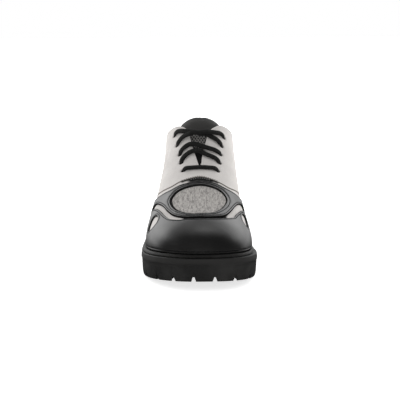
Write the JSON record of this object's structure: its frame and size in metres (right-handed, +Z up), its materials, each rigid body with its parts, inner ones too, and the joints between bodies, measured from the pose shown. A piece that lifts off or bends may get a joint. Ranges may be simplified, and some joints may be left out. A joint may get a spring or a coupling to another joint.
{
  "type": "lace-up shoe",
  "caption": "Right lace-up leather shoe: white upper, black toe cap, vamp band and heel counter, grey textile inset, black laces, thick black lugged rubber sole.",
  "frame": {"origin": "on the floor, under the middle of the box round the shoe", "axes": "+Z up, +Y from the toe towards the heel, +X towards the medial side of this right shoe"},
  "size_m": [0.113, 0.3014, 0.1341],
  "materials": {
    "white_leather": "semi-matt, fine grain",
    "black_leather": "semi-gloss",
    "black_rubber": "matt",
    "grey_textile": "heathered weave",
    "black_cord": "woven",
    "insole_fabric": "matt"
  },
  "bodies": {
    "root": {"outsole": "black_rubber", "welt": "black_rubber", "insole": "insole_fabric", "upper": "white_leather", "tongue": "black_leather", "toe_cap": "black_leather", "vamp_band": "black_leather", "oval_panel": "grey_textile", "heel_counter": "black_leather", "lace_bar_first": "black_cord", "lace_bar_second": "black_cord", "lace_bar_third": "black_cord", "lace_cross": "black_cord"}
  },
  "joints": []
}
